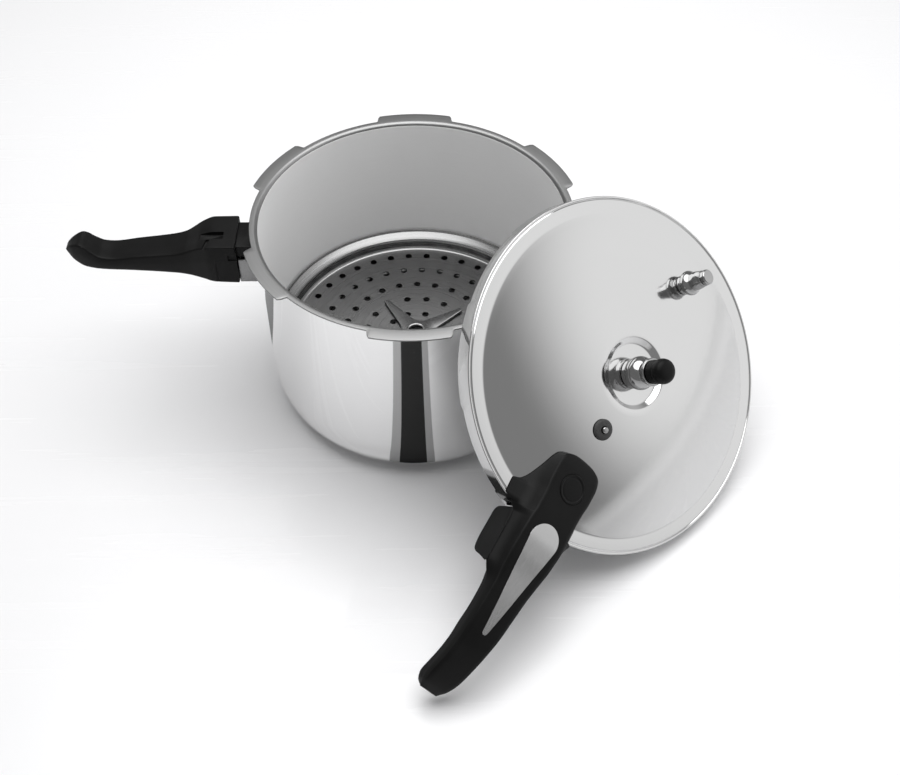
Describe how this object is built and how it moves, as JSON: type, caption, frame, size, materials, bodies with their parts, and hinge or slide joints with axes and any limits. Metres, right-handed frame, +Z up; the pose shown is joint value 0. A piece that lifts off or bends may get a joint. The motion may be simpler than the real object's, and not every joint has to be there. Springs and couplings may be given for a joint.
{
  "type": "pressure canner",
  "caption": "Steel bayonet-lid pressure canner with a long black handle and a steamer rack, its domed lid with weight and valves leaning on the rim.",
  "frame": {"origin": "centre of the underside of the pot's base disc, on the floor", "axes": "+Z up along the pot's axis; the pot handle points along -X; the lid leans on the rim towards +X and -Y"},
  "size_m": [0.5465, 0.4571, 0.2137],
  "materials": {
    "polished_steel": "polished, mirror-like outside and brushed inside",
    "lid_steel": "fine satin with a soft sheen",
    "rack_steel": "satin",
    "satin_steel": "satin",
    "brushed_inlay": "brushed",
    "base_steel": "satin, slightly warm edge",
    "chrome": "bright chrome plating",
    "black_phenolic": "moulded phenolic, low sheen",
    "gasket_rubber": "matt"
  },
  "bodies": {
    "pot": {"pot_shell": "polished_steel", "base_disc": "base_steel", "pot_handle_bracket": "satin_steel", "pot_handle": "black_phenolic", "pot_handle_screw": "satin_steel"},
    "rack": {"steamer_plate": "rack_steel", "plate_spider": "rack_steel", "plate_lift_ring": "chrome", "plate_stand": "satin_steel"},
    "gasket": {"gasket": "gasket_rubber"},
    "lid": {"lid_shell": "lid_steel", "lid_handle_bracket": "satin_steel", "lid_handle_cover": "black_phenolic", "lid_handle_lower": "black_phenolic", "lid_handle_inlay": "brushed_inlay", "lid_handle_medallion": "black_phenolic", "lid_handle_front_screw": "satin_steel", "lid_handle_rear_screw": "satin_steel", "vent_pipe": "satin_steel", "vent_nut": "satin_steel", "safety_valve_body": "chrome", "safety_valve_nut": "satin_steel", "safety_plug_grommet": "gasket_rubber"},
    "regulator": {"regulator_weight": "chrome", "regulator_knob": "black_phenolic"},
    "valve_stem": {"safety_valve_stem": "chrome", "safety_valve_spring": "satin_steel"},
    "indicator": {"indicator_pin": "chrome"}
  },
  "joints": [
    {"name": "lid_tip", "type": "hinge", "parent": "pot", "child": "gasket", "pos_m": [0.21115, -0.16637, 0], "axis": [0.7242, 0.6896, 0], "range_deg": [0, 40]},
    {"name": "lid_twist", "type": "hinge", "parent": "gasket", "child": "lid", "pos_m": [0.157, -0.1095, 0.1122], "axis": [0.5197, -0.5457, 0.6574], "range_deg": [-30, 0]},
    {"name": "regulator_lift", "type": "slide", "parent": "lid", "child": "regulator", "axis": [0.5197, -0.5457, 0.6574], "range_m": [0, 0.02]},
    {"name": "safety_valve_lift", "type": "slide", "parent": "lid", "child": "valve_stem", "axis": [0.6204, -0.3621, 0.6957], "range_m": [0, 0.0024], "stiffness_N_per_m": 600, "springref_m": -0.004},
    {"name": "indicator_rise", "type": "slide", "parent": "lid", "child": "indicator", "axis": [0.4554, -0.6427, 0.6161], "range_m": [0, 0.0035]},
    {"name": "rack_lift", "type": "slide", "parent": "pot", "child": "rack", "axis": [0, 0, 1], "range_m": [0, 0.1]}
  ]
}
